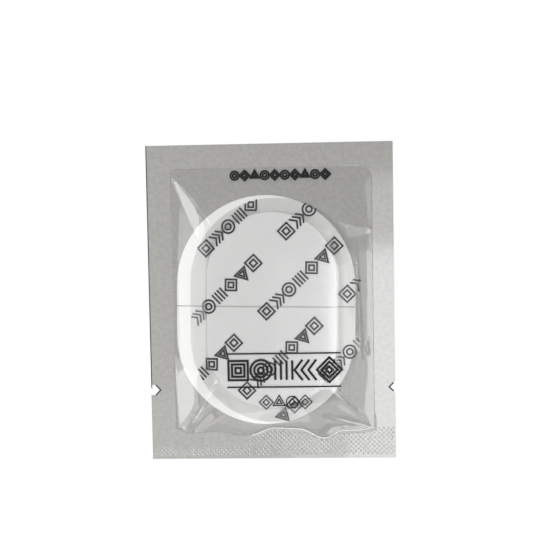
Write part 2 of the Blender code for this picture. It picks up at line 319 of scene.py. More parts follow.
def spread_points(outline, centre, corners):
    """Points on an outline, evenly turned between its four corners, anticlockwise from the top right one."""
    angles = [math.atan2(y - centre[1], x - centre[0]) % (2 * math.pi) for x, y in corners]
    angles.append(angles[0] + 2 * math.pi)
    points = []
    for side in range(4):
        steps = WEB_ACROSS if side % 2 == 0 else WEB_ALONG
        for step in range(steps):
            angle = angles[side] + (angles[side + 1] - angles[side]) * step / steps
            points.append(reach_from(outline, centre, angle))
    return points


# Places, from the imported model

pouch_low, pouch_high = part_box("front_web")
gel_low, gel_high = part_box("gel_pad")
cover_low, cover_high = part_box("cover_film")
back_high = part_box("back_web")[1]
PAD_CENTRE = ((gel_low + gel_high) / 2).to_2d()
POCKET = (pouch_low.x + SEAL_LEFT, pouch_high.x - SEAL_RIGHT,
          pouch_low.y + SEAL_BOTTOM, pouch_high.y - SEAL_TOP)
CORNERS = {
    "top_right": Vector((POCKET[1], POCKET[3])),
    "top_left": Vector((POCKET[0], POCKET[3])),
    "bottom_left": Vector((POCKET[0], POCKET[2])),
    "bottom_right": Vector((POCKET[1], POCKET[2])),
}
SEAL_Z = pouch_low.z
LAYER_GAP = SEAL_Z - back_high.z
CROWN_Z = cover_high.z + LAYER_GAP


def finished(obj, name):
    """Apply an object's modifiers, and keep the result as a plain mesh object at the origin."""
    bpy.context.view_layer.update()
    evaluated = obj.evaluated_get(bpy.context.evaluated_depsgraph_get())
    mesh = bpy.data.meshes.new_from_object(evaluated)
    mesh.name = name
    mesh.transform(obj.matrix_world)
    bpy.data.objects.remove(obj, do_unlink=True)
    plain = bpy.data.objects.new(name, mesh)
    bpy.context.scene.collection.objects.link(plain)
    return plain


def mesh_object(name, points, faces, materials=()):
    mesh = bpy.data.meshes.new(name)
    mesh.from_pydata([tuple(point) for point in points], [], faces)
    mesh.validate()
    for material in materials:
        mesh.materials.append(material)
    obj = bpy.data.objects.new(name, mesh)
    bpy.context.scene.collection.objects.link(obj)
    return obj


def ring_quads(rows, count):
    """Quads between closed rings of points, outermost or lowest first."""
    faces = []
    for row in range(rows - 1):
        for index in range(count):
            after = (index + 1) % count
            faces.append((row * count + index, row * count + after,
                          (row + 1) * count + after, (row + 1) * count + index))
    return faces


def ringed_faces(rows, count):
    """Quads between closed rings of points, outermost first, and a fan to one last point."""
    last = (rows - 1) * count
    hub = rows * count
    fan = [(last + index, last + (index + 1) % count, hub) for index in range(count)]
    return ring_quads(rows, count) + fan


def thicken(obj, thickness):
    wall = obj.modifiers.new("thickness", "SOLIDIFY")
    wall.thickness = thickness
    wall.offset = 1.0


def surface_of(obj):
    """A film's surface, to lay print on."""
    return BVHTree.FromPolygons([vertex.co for vertex in obj.data.vertices],
                                [tuple(face.vertices) for face in obj.data.polygons])


def joined(parts):
    """One list of points and one of faces from several."""
    points = []
    faces = []
    for more, quads in parts:
        base = len(points)
        faces += [tuple(base + corner for corner in quad) for quad in quads]
        points += more
    return points, faces


def tear_notches():
    """Each tear notch: its place on the sachet's edge, and its outline there."""
    for side, outline, up in ((-1, LEFT_NOTCH, LEFT_NOTCH_UP), (1, RIGHT_NOTCH, RIGHT_NOTCH_UP)):
        yield Vector((side * pouch_high.x, pouch_low.y + up)), [Vector(point) * MM for point in outline]


# Materials. A noise scale counts patches to a metre: 800 makes them 1.25 mm across


def mottled(tree, place, dark, light, scale, detail, roughness=0.5):
    """Noise on object coordinates: its strength, and a colour that wanders between two."""
    fleck = add(tree, "ShaderNodeTexNoise", {
        "Vector": place, "Scale": scale, "Detail": detail, "Roughness": roughness}).outputs["Fac"]
    tone = add(tree, "ShaderNodeMix", {"Factor": fleck, "A": srgb(dark), "B": srgb(light)}, data_type="RGBA")
    return fleck, tone.outputs["Result"]


def foil_laminate(name, film_over_it):
    """Aluminium foil laminate, roll-coated matt: a soft silver grey, glossy where film is welded over it."""
    material, tree = new_material(name)
    place = add(tree, "ShaderNodeTexCoord").outputs["Object"]
    # Clouds in the coating, 1.25 mm across and finer
    _, tone = mottled(tree, place, "#848380", "#b1b0ad", 800.0, 5.0, 0.75)
    # The coating's real grain is finer than this 0.4 mm, at which it just shows
    grain = add(tree, "ShaderNodeTexNoise", {"Vector": place, "Scale": 2500.0, "Detail": 2.0})
    bump = add(tree, "ShaderNodeBump", {
        "Height": grain.outputs["Fac"], "Strength": 0.15, "Distance": 0.02 * MM})
    shader = add(tree, "ShaderNodeBsdfPrincipled", {
        "Base Color": tone, "Metallic": 0.6, "Roughness": 0.5, "Normal": bump.outputs["Normal"]})
    if film_over_it:
        # The welded film's own ripple, 1.1 mm across
        ripple = add(tree, "ShaderNodeTexNoise", {"Vector": place, "Scale": 900.0, "Detail": 1.0})
        skin = add(tree, "ShaderNodeBump", {
            "Height": ripple.outputs["Fac"], "Strength": 0.3, "Distance": 0.03 * MM})
        shader.inputs["Coat Weight"].default_value = 1.0
        shader.inputs["Coat IOR"].default_value = 2.0
        shader.inputs["Coat Roughness"].default_value = 0.08
        tree.links.new(skin.outputs["Normal"], shader.inputs["Coat Normal"])
    add(tree, "ShaderNodeOutputMaterial", {"Surface": shader.outputs["BSDF"]})
    return material


def clear_film(name, shine, roughness):
    """Clear drawn film: window reflections over what lies under it, stronger at a glancing angle."""
    material, tree = new_material(name)
    place = add(tree, "ShaderNodeTexCoord").outputs["Object"]
    # Ripples left by drawing, 3.3 mm across
    ripple = add(tree, "ShaderNodeTexNoise", {"Vector": place, "Scale": 300.0, "Detail": 0.0})
    bump = add(tree, "ShaderNodeBump", {
        "Height": ripple.outputs["Fac"], "Strength": 0.25, "Distance": 0.03 * MM})
    facing = add(tree, "ShaderNodeLayerWeight", {"Blend": 0.5}).outputs["Facing"]
    edge = add(tree, "ShaderNodeMath", {0: facing, 1: 4.0}, operation="POWER")
    share = add(tree, "ShaderNodeMath", {0: edge.outputs[0], 1: 0.80, 2: shine}, operation="MULTIPLY_ADD")
    through = add(tree, "ShaderNodeBsdfTransparent", {"Color": srgb("#ffffff")})
    gloss = add(tree, "ShaderNodeBsdfGlossy", {
        "Color": srgb("#ffffff"), "Roughness": roughness, "Normal": bump.outputs["Normal"]})
    mixed = add(tree, "ShaderNodeMixShader", {
        0: share.outputs[0], 1: through.outputs[0], 2: gloss.outputs[0]})
    add(tree, "ShaderNodeOutputMaterial", {"Surface": mixed.outputs[0]})
    return material


def release_liner():
    """Silicone-coated white polyester: an even, slightly warm white with a silky sheen."""
    material, tree = new_material("silicone-coated white liner")
    place = add(tree, "ShaderNodeTexCoord").outputs["Object"]
    # The coating is a shade thicker and thinner over 11 mm or so
    _, tone = mottled(tree, place, "#e1e1df", "#e5e5e3", 90.0, 2.0)
    shader = add(tree, "ShaderNodeBsdfPrincipled", {
        "Base Color": tone, "Roughness": 0.15, "IOR": 1.5, "Specular IOR Level": 1.0})
    add(tree, "ShaderNodeOutputMaterial", {"Surface": shader.outputs["BSDF"]})
    return material


def hydrogel():
    """Cross-linked hydrogel: milky, near neutral, with the liner's slit showing through as a grey line."""
    material, tree = new_material("milky hydrogel")
    place = add(tree, "ShaderNodeTexCoord").outputs["Object"]
    # Clouds in the gel, about 8 mm across
    _, tone = mottled(tree, place, "#eeeeed", "#f2f2f1", 120.0, 3.0)
    # How far each point lies from the slit, which is turned with the pad
    where = add(tree, "ShaderNodeSeparateXYZ", {0: place}).outputs
    slit_y = (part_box("liner_upper_half")[0].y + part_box("liner_lower_half")[1].y) / 2
    lean = math.tan(PAD_TURN)
    line = add(tree, "ShaderNodeMath", {0: where["X"], 1: lean, 2: slit_y - lean * PAD_CENTRE.x},
               operation="MULTIPLY_ADD")
    off = add(tree, "ShaderNodeMath", {0: where["Y"], 1: line.outputs[0]}, operation="SUBTRACT")
    away = add(tree, "ShaderNodeMath", {0: off.outputs[0]}, operation="ABSOLUTE")
    dim = add(tree, "ShaderNodeMapRange", {
        "Value": away.outputs[0], "From Min": SLIT_CORE, "From Max": SLIT_REACH,
        "To Min": 0.5, "To Max": 0.0})
    slit = add(tree, "ShaderNodeMix", {"Factor": dim.outputs[0], "A": tone, "B": srgb("#888886")},
               data_type="RGBA")
    shader = add(tree, "ShaderNodeBsdfPrincipled", {
        "Base Color": slit.outputs["Result"], "Roughness": 0.3, "IOR": 1.37, "Specular IOR Level": 0.25,
        "Subsurface Weight": 0.4, "Subsurface Scale": 0.6 * MM, "Subsurface Radius": (1.0, 1.0, 1.0)})
    add(tree, "ShaderNodeOutputMaterial", {"Surface": shader.outputs[0]})
    return material


def painted_edge_shade_material():
    """Painted shade along the sachet's cut edge: a thin dull dark line."""
    material, tree = new_material("painted shade on the cut edge")
    place = add(tree, "ShaderNodeTexCoord").outputs["Object"]
    # Darker and lighter along the line over 5 or 6 mm
    _, tone = mottled(tree, place, "#0e0e0e", "#505050", 180.0, 2.0)
    shader = add(tree, "ShaderNodeBsdfPrincipled", {"Base Color": tone, "Roughness": 0.6})
    add(tree, "ShaderNodeOutputMaterial", {"Surface": shader.outputs["BSDF"]})
    return material


def squeezed_sealant():
    """Polyethylene squeezed out of the weld and set: a thin milky line, brighter than the foil."""
    material, tree = new_material("squeezed-out polyethylene sealant")
    place = add(tree, "ShaderNodeTexCoord").outputs["Object"]
    # Lumps between 1 and 2 mm long
    lumps, tone = mottled(tree, place, "#c0c0bc", "#fafaf6", 600.0, 2.0)
    bump = add(tree, "ShaderNodeBump", {"Height": lumps, "Strength": 0.4, "Distance": 0.1 * MM})
    shader = add(tree, "ShaderNodeBsdfPrincipled", {
        "Base Color": tone, "Roughness": 0.25, "Normal": bump.outputs["Normal"]})
    add(tree, "ShaderNodeOutputMaterial", {"Surface": shader.outputs["BSDF"]})
    return material


def black_ink():
    """Flexographic black ink on film: dense, with worn pinholes too fine to count."""
    material, tree = new_material("black flexographic ink")
    place = add(tree, "ShaderNodeTexCoord").outputs["Object"]
    # The real pinholes are finer than this 0.3 mm, at which they just show
    _, tone = mottled(tree, place, "#101011", "#232324", 3000.0, 1.0)
    shader = add(tree, "ShaderNodeBsdfPrincipled", {
        "Base Color": tone, "Roughness": 0.5, "Specular IOR Level": 0.2})
    add(tree, "ShaderNodeOutputMaterial", {"Surface": shader.outputs["BSDF"]})
    return material


# The front film


def fold_height(point):
    """How far the folds lift the film at a point: each rises from its tip, then fades out at its far end."""
    lift = 0.0
    for corner, offset, direction, length, half_width, steepness, crest, soft in FOLDS:
        away = point - CORNERS[corner] - Vector(offset) * MM
        angle = math.radians(direction)
        along = away.x * math.cos(angle) + away.y * math.sin(angle)
        across = away.y * math.cos(angle) - away.x * math.sin(angle)
        if 0 < along < length * MM:
            spread = half_width * along / length
            side = across / spread
            if abs(side) < 1:
                share = (side + 1) / (crest + 1) if side < crest else (1 - side) / (1 - crest)
                if soft:
                    share = share * share * (3 - 2 * share)
                fade = min(1.0, (1 - along / (length * MM)) / FOLD_FADE)
                lift += steepness * spread * (1 + abs(crest)) * share * fade * fade * (3 - 2 * fade)
    return lift


def bead_height(place, share):
    """The bead of sealant squeezed out along the bottom seal's inner line."""
    side = abs(share - 1 + BEAD_SHARE) / BEAD_SHARE
    if side >= 1:
        return 0.0
    low = min(1.0, max(0.0, (BEAD_TOP_Y - place.y) / BEAD_FADE_Y))
    right = min(1.0, max(0.0, (place.x - BEAD_START_X) / BEAD_FADE_X))
    return BEAD_RISE * low * right * (1 + math.cos(math.pi * side)) / 2


def drape(share):
    """Share of the rise that the film has reached between the seal (0) and the gel's edge (1)."""
    for (start, low), (end, high) in zip(LIP, LIP[1:]):
        if share < end:
            return low + (high - low) * (share - start) / (end - start)
    lip_share, lip_rise = LIP[-1]
    rest = (share - lip_share) / (1 - lip_share)
    tent = rest * (TENT_FOOT + rest * (TENT_BELLY + rest * (1 - TENT_FOOT - TENT_BELLY)))
    return lip_rise + (1 - lip_rise) * tent


def ripple_at(place, length):
    return noise.noise(Vector((*place, 0.0)) / length)


def slope_height(place, share):
    """The film's height over its seal on the slope, folds and faint ripples included."""
    lift = (CROWN_Z - SEAL_Z) * drape(share)
    if share:
        limit = CROWN_Z - SEAL_Z + FOLD_TOP
        lift += fold_height(place) * min(1.0, share / FOLD_START) * (1 - share * share)
        over = max(0.0, FOLD_ROUND - abs(lift - limit))
        lift = min(lift, limit) - over * over / (4 * FOLD_ROUND)
        lift += FILM_RIPPLE * math.sin(math.pi * share) * ripple_at(place, FILM_RIPPLE_LENGTH)
    return lift


def make_front_film(film, bonded):
    """Clear film: flat on the seal bands, draped over the pad, with folds fanning out of the corners."""
    half_x = pouch_high.x
    half_y = pouch_high.y
    pouch = [Vector((x * half_x, y * half_y)) for x, y in ((1, 1), (-1, 1), (-1, -1), (1, -1))]
    corners = list(CORNERS.values())
    grow = 2 * COVER_STEP_START
    edge = spread_points(pouch, PAD_CENTRE, pouch)
    pocket = spread_points(pocket_outline(*POCKET), PAD_CENTRE, corners)
    crown = spread_points(stadium(GEL_WIDTH + grow, GEL_LENGTH + grow, PAD_CENTRE), PAD_CENTRE, corners)
    lip_end = LIP[1][0]
    slope_shares = [0.0, lip_end, 2 * lip_end, *[ring / SLOPE_RINGS for ring in range(1, SLOPE_RINGS + 1)]]
    points = []
    for share in SEAL_SHARES:
        for a, b in zip(edge, pocket):
            place = a.lerp(b, share)
            points.append((*place, SEAL_Z + bead_height(place, share)))
    for share in slope_shares:
        for a, b in zip(pocket, crown):
            place = a.lerp(b, share)
            points.append((*place, SEAL_Z + slope_height(place, share)))
    for ring in range(1, CROWN_RINGS + 1):
        share = ring / (CROWN_RINGS + 1)
        swell = FILM_SWELL * (1 - (1 - share) ** 4)
        points += [(*place.lerp(PAD_CENTRE, share), CROWN_Z + swell) for place in crown]
    points.append((*PAD_CENTRE, CROWN_Z + FILM_SWELL))
    rows = len(SEAL_SHARES) + len(slope_shares) + CROWN_RINGS
    obj = mesh_object("front_film", points, ringed_faces(rows, len(edge)), (film, bonded))
    for face in obj.data.polygons:
        if face.index < len(SEAL_SHARES) * len(edge):
            face.material_index = 1
    obj.data.shade_smooth()
    surface = surface_of(obj)
    thicken(obj, FILM_THICK)
    cutters = []
    for base, outline in tear_notches():
        cutter = notch_prism([base + point for point in outline])
        cut = obj.modifiers.new("tear notch", "BOOLEAN")
        cut.operation = "DIFFERENCE"
        cut.solver = "EXACT"
        cut.object = cutter
        cutters.append(cutter)
    obj = finished(obj, "front_film")
    obj.data.set_sharp_from_angle(angle=math.radians(30))
    for cutter in cutters:
        bpy.data.objects.remove(cutter, do_unlink=True)
    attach(obj, "root")
    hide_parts("front_web")
    return surface


def notch_prism(corners):
    """A prism over and under a tear notch, to cut it with."""
    count = len(corners)
    points = [(*corner, -MM) for corner in corners] + [(*corner, MM) for corner in corners]
    ends = [tuple(reversed(range(count))), tuple(range(count, 2 * count))]
    sides = [(i, (i + 1) % count, count + (i + 1) % count, count + i) for i in range(count)]
    return mesh_object("notch", points, ends + sides)


# The pad's layers


def make_gel(material):
    """The gel slab, its rim rounded above and below."""
    levels = []
    for step in range(GEL_ROUND_STEPS + 1):
        angle = math.pi / 2 * step / GEL_ROUND_STEPS
        levels.append((-GEL_ROUND * (1 - math.sin(angle)), gel_low.z + GEL_ROUND * (1 - math.cos(angle))))
    levels += [(grow, gel_high.z + gel_low.z - height) for grow, height in reversed(levels)]
    points = []
    for grow, height in levels:
        outline = stadium(GEL_WIDTH + 2 * grow, GEL_LENGTH + 2 * grow, PAD_CENTRE)
        points += [(*point, height) for point in outline]
    count = len(outline)
    faces = ring_quads(len(levels), count)
    faces.append(tuple(reversed(range(count))))
    faces.append(tuple(range((len(levels) - 1) * count, len(levels) * count)))
    obj = mesh_object("gel_slab", points, faces, (material,))
    obj.data.shade_smooth()
    obj.data.set_sharp_from_angle(angle=math.radians(40))
    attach(obj, "root")
    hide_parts("gel_pad")


def make_cover_film(material):
    """Clear film that steps down from the gel to the liner in a smooth S."""
    rim_z = cover_low.z
    top_z = cover_high.z - FILM_THICK
    points = []
    outer = stadium(COVER_WIDTH, COVER_LENGTH, PAD_CENTRE, COVER_SHIFT)
    step_foot = COVER_STEP_START + COVER_STEP_RUN
    foot = stadium(GEL_WIDTH + 2 * step_foot, GEL_LENGTH + 2 * step_foot, PAD_CENTRE)
    for ring in range(COVER_RIM_RINGS):
        for a, b in zip(outer, foot):
            place = a.lerp(b, ring / COVER_RIM_RINGS)
            points.append((*place, rim_z + COVER_RIPPLE * ripple_at(place, COVER_RIPPLE_LENGTH) ** 2))
    for ring in range(COVER_STEP_RINGS + 1):
        share = ring / COVER_STEP_RINGS
        grow = COVER_STEP_START + COVER_STEP_RUN * (1 - share)
        height = rim_z + (top_z - rim_z) * share * share * (3 - 2 * share)
        outline = stadium(GEL_WIDTH + 2 * grow, GEL_LENGTH + 2 * grow, PAD_CENTRE)
        points += [(*place, height) for place in outline]
    top = stadium(GEL_WIDTH, GEL_LENGTH, PAD_CENTRE)
    top_shares = (0.3, 0.7)
    for share in top_shares:
        points += [(*place.lerp(PAD_CENTRE, share), top_z) for place in top]
    points.append((*PAD_CENTRE, top_z))
    rows = COVER_RIM_RINGS + COVER_STEP_RINGS + 1 + len(top_shares)
    obj = mesh_object("cover_sheet", points, ringed_faces(rows, len(outer)), (material,))
    obj.data.shade_smooth()
    surface = surface_of(obj)
    thicken(obj, FILM_THICK)
    obj = finished(obj, "cover_sheet")
    obj.data.set_sharp_from_angle(angle=math.radians(60))
    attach(obj, "root")
    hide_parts("cover_film")
    return surface, outer


# Print


def ribbon(path, width, closed):
    """A flat stroke along a path, mitred at its corners and cut into short pieces."""
    dense = []
    count = len(path)
    for index in range(count if closed else count - 1):
        a = Vector(path[index])
        b = Vector(path[(index + 1) % count])
        pieces = max(1, round((b - a).length / STROKE_PIECE))
        dense += [a.lerp(b, piece / pieces) for piece in range(pieces)]
    if not closed:
        dense.append(Vector(path[-1]))
    points = []
    total = len(dense)
    for index, place in enumerate(dense):
        before = dense[index - 1] if closed or index else place * 2 - dense[index + 1]
        after = dense[(index + 1) % total] if closed or index < total - 1 else place * 2 - dense[index - 1]
        way_in = (place - before).normalized()
        way_out = (after - place).normalized()
        normal = Vector((-(way_in.y + way_out.y), way_in.x + way_out.x)).normalized()
        stretch = width / 2 / max(0.4, normal.dot(Vector((-way_in.y, way_in.x))))
        points += [place + normal * stretch, place - normal * stretch]
    faces = []
    for index in range(total if closed else total - 1):
        after = (index + 1) % total
        faces.append((2 * index + 1, 2 * after + 1, 2 * after, 2 * index))
    return points, faces


def polygon(sides, radius, turn):
    angles = [turn + 2 * math.pi * i / sides for i in range(sides)]
    return [(radius * math.cos(angle), radius * math.sin(angle)) for angle in angles]


def nested(sides, radius, size, turn=0.0):
    """One polygon in another, as many as leave the gaps open at that size of mark."""
    count = max(2, round(size / NEST_PITCH))
    return [(polygon(sides, radius * (1 - 1.08 * index / count), turn), True) for index in range(count)]


def mark_paths(kind, size):
    """Closed and open paths of one generic mark, about its middle."""
    half = size / 2
    if kind == "rings":
        return nested(20, half * 0.92, size)
    if kind == "diamonds":
        return nested(4, half * 1.1, size)
    if kind == "triangles":
        return nested(3, half * 1.1, size, math.pi / 6)
    if kind == "bars":
        return [([(shift * half, -half * 0.85), (shift * half, half * 0.85)], False)
                for shift in (-0.75, -0.25, 0.25, 0.75)]
    if kind == "squares":
        return nested(4, half * 1.2, size, math.pi / 4)
    if kind == "chevrons":
        reach = half * 0.35
        return [([(shift - reach, -half * 0.9), (shift + reach, 0.0), (shift - reach, half * 0.9)], False)
                for shift in (-half * 0.5, half * 0.1, half * 0.7)]
    raise ValueError(kind)


def marks_mesh(marks, stroke):
    """One flat mesh of many marks: each is (kind, size, middle, turn)."""
    return joined([
        ribbon([turned(point, turn) + Vector(middle) for point in path], stroke, closed)
        for kind, size, middle, turn in marks
        for path, closed in mark_paths(kind, size)])


def inside(outline, point):
    """Whether a point lies inside a closed outline that bulges everywhere."""
    return all((outline[i] - outline[i - 1]).cross(point - outline[i - 1]) > 0
               for i in range(len(outline)) if (outline[i] - outline[i - 1]).length > 0)


def cut_to(outline, points, faces):
    """The strokes that fall inside an outline, without those of which only a scrap would be left."""
    strokes = []
    for face in faces:
        if not strokes or not set(face) & set(strokes[-1][-1]):
            strokes.append([])
        strokes[-1].append(face)
    kept = []
    for stroke in strokes:
        middles = [sum((points[corner] for corner in face), Vector((0, 0))) / len(face) for face in stroke]
        within = [face for face, middle in zip(stroke, middles) if inside(outline, middle)]
        if len(within) > PEEL_SCRAP * len(stroke):
            kept += within
    return kept


def lay_print(name, points, faces, surface, material):
    """Lay flat strokes on a film, and give the ink a little body."""
    shape = bmesh.new()
    corners = []
    for point in points:
        place = Vector((point[0], point[1]))
        hit = surface.ray_cast(Vector((*place, WELL_ABOVE)), Vector((0, 0, -1)))[0]
        level = (hit.z if hit else SEAL_Z) + FILM_THICK + INK_LIFT
        corners.append(shape.verts.new((*place, level)))
    for face in faces:
        shape.faces.new([corners[corner] for corner in face])
    loose = [vertex for vertex in shape.verts if not vertex.link_faces]
    bmesh.ops.delete(shape, geom=loose, context="VERTS")
    mesh = bpy.data.meshes.new(name)
    shape.to_mesh(mesh)
    shape.free()
    mesh.materials.append(material)
    obj = bpy.data.objects.new(name, mesh)
    bpy.context.scene.collection.objects.link(obj)
    thicken(obj, INK_BODY)
    obj = finished(obj, name)
    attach(obj, "root")


def open_sockets(tree, inputs):
    """Named inputs beside the geometry that comes in and goes out; gives the inputs' outlets."""
    tree.interface.new_socket("Geometry", in_out="INPUT", socket_type="NodeSocketGeometry")
    for name, kind in inputs.items():
        tree.interface.new_socket(name, in_out="INPUT", socket_type=f"NodeSocket{kind}")
    tree.interface.new_socket("Geometry", in_out="OUTPUT", socket_type="NodeSocketGeometry")
    return add(tree, "NodeGroupInput").outputs


def lattice_tree():
    """Repeats a row of marks on a lattice of lines, every second line staggered."""
    tree = bpy.data.node_groups.new("peel mark rows", "GeometryNodeTree")
    given = open_sockets(tree, {
        "Lines": "Int", "Columns": "Int", "Line Pitch": "Float", "Repeat": "Float", "Ink": "Material"})
    down = add(tree, "ShaderNodeMath", {0: given["Line Pitch"], 1: -1.0}, operation="MULTIPLY")
    step_down = add(tree, "ShaderNodeCombineXYZ", {"Y": down.outputs[0]})
    lines = add(tree, "GeometryNodeMeshLine", {"Count": given["Lines"], "Offset": step_down.outputs[0]})
    index = add(tree, "GeometryNodeInputIndex").outputs[0]
    odd = add(tree, "ShaderNodeMath", {0: index, 1: 2.0}, operation="MODULO").outputs[0]
    half = add(tree, "ShaderNodeMath", {0: given["Repeat"], 1: 0.5}, operation="MULTIPLY").outputs[0]
    shift = add(tree, "ShaderNodeMath", {0: odd, 1: half}, operation="MULTIPLY").outputs[0]
    aside = add(tree, "ShaderNodeCombineXYZ", {"X": shift})
    staggered = add(tree, "GeometryNodeSetPosition", {
        "Geometry": lines.outputs[0], "Offset": aside.outputs[0]})
    step_on = add(tree, "ShaderNodeCombineXYZ", {"X": given["Repeat"]})
    columns = add(tree, "GeometryNodeMeshLine", {"Count": given["Columns"], "Offset": step_on.outputs[0]})
    grid = add(tree, "GeometryNodeInstanceOnPoints", {
        "Points": staggered.outputs[0], "Instance": columns.outputs[0]})
    points = add(tree, "GeometryNodeRealizeInstances", {0: grid.outputs[0]})
    rows = add(tree, "GeometryNodeInstanceOnPoints", {
        "Points": points.outputs[0], "Instance": given["Geometry"]})
    real = add(tree, "GeometryNodeRealizeInstances", {0: rows.outputs[0]})
    inked = add(tree, "GeometryNodeSetMaterial", {"Geometry": real.outputs[0], "Material": given["Ink"]})
    add(tree, "NodeGroupOutput", {0: inked.outputs[0]})
    return tree


def set_inputs(modifier, values):
    for item in modifier.node_group.interface.items_tree:
        if item.item_type == "SOCKET" and item.in_out == "INPUT" and item.name in values:
            modifier[item.identifier] = values[item.name]


def make_peel_print(surface, outline, ink):
    """Diagonal rows of generic marks on the cover film, cut off at its edge."""
    kinds = ["squares", "chevrons", "rings", "bars", "diamonds", "triangles", "squares"]
    row = [(kind, PEEL_MARK, ((index + 0.5) * PEEL_PITCH, 0.0), 0.0) for index, kind in enumerate(kinds)]
    points, faces = marks_mesh(row, PEEL_STROKE)
    seed = mesh_object("peel_row", [(*point, 0.0) for point in points], faces)
    rows = seed.modifiers.new("rows", "NODES")
    rows.node_group = lattice_tree()
    set_inputs(rows, {
        "Lines": PEEL_LINES, "Columns": PEEL_COLUMNS, "Line Pitch": PEEL_LINE, "Repeat": PEEL_REPEAT,
        "Ink": ink})
    to_start = (-PEEL_COLUMNS_BEFORE * PEEL_REPEAT, PEEL_LINES_ABOVE * PEEL_LINE)
    start = PEEL_START + turned(to_start, PEEL_ANGLE)
    seed.matrix_world = Matrix.Translation((*start, 0.0)) @ Matrix.Rotation(PEEL_ANGLE, 4, "Z")
    flat = finished(seed, "peel_rows_flat")
    points = [vertex.co.to_2d() for vertex in flat.data.vertices]
    faces = [tuple(face.vertices) for face in flat.data.polygons]
    bpy.data.objects.remove(flat, do_unlink=True)
    lay_print("peel_marks", points, cut_to(outline, points, faces), surface, ink)


def mark_line(kinds, size, start, pitch):
    """A level line of upside-down marks."""
    return [(kind, size, start + Vector((index * pitch, 0.0)), math.pi) for index, kind in enumerate(kinds)]


def make_front_print(surface, ink):
    """Two rules with large marks between, a small line under them, and a bold line near the top."""
    rules = [ribbon([(RULE_LEFT, height), (RULE_RIGHT, height)], RULE_STROKE, False)
             for height in RULE_HEIGHTS]
    title_kinds = ["squares", "rings", "bars", "chevrons", "diamonds"]
    title_pitch = (RULE_RIGHT - RULE_LEFT) / len(title_kinds)
    title_start = Vector((RULE_LEFT + title_pitch / 2, sum(RULE_HEIGHTS) / 2))
    title = mark_line(title_kinds, TITLE_MARK, title_start, title_pitch)
    small = mark_line(["diamonds", "triangles", "rings", "diamonds"], SMALL_MARK, SMALL_START, SMALL_PITCH)
    top_kinds = ["rings", "diamonds", "triangles", "rings", "diamonds"] * 2
    top = mark_line(top_kinds, TOP_MARK, TOP_START, TOP_PITCH)
    points, faces = joined([
        *rules, marks_mesh(title, TITLE_STROKE), marks_mesh(small, SMALL_STROKE),
        marks_mesh(top, TOP_STROKE)])
    lay_print("front_print", points, faces, surface, ink)


def make_sealant_bead(surface, material):
    """The thin line of sealant along the bottom seal's inner edge, up to the right corner."""
    outline = pocket_outline(*POCKET)
    path = [point for point in outline if point.x > BEAD_LEFT and point.y < POCKET[2] + MM / 2]
    points, faces = ribbon(path, BEAD_WIDTH, False)
    lay_print("sealant_bead", points, faces, surface, material)


def make_painted_edge_shade(material):
    """Painted shade along the sachet's cut edge: down the left side and round both tear notches."""
    left = -pouch_high.x + EDGE_STROKE / 2
    inset = Vector((NOTCH_STROKE / 2, 0))
    notch_left, notch_right = [[base + point for point in outline] for base, outline in tear_notches()]
    low, high, tip = notch_right
    side = [(left, pouch_high.y), (left, notch_left[1].y + EDGE_END)]
    points, faces = joined([
        ribbon(side, EDGE_STROKE, False),
        ribbon([point + inset for point in notch_left[1:4]], NOTCH_STROKE, False),
        ribbon([high.lerp(tip, NOTCH_SHARE), tip - inset, low.lerp(tip, NOTCH_SHARE)], NOTCH_STROKE, False)])
    level = SEAL_Z + FILM_THICK + INK_LIFT
    obj = mesh_object("painted_edge_shade_lines", [(*point, level) for point in points], faces, (material,))
    thicken(obj, INK_BODY)
    obj = finished(obj, "painted_edge_shade_lines")
    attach(obj, "root")


# The crimp on the bottom seal


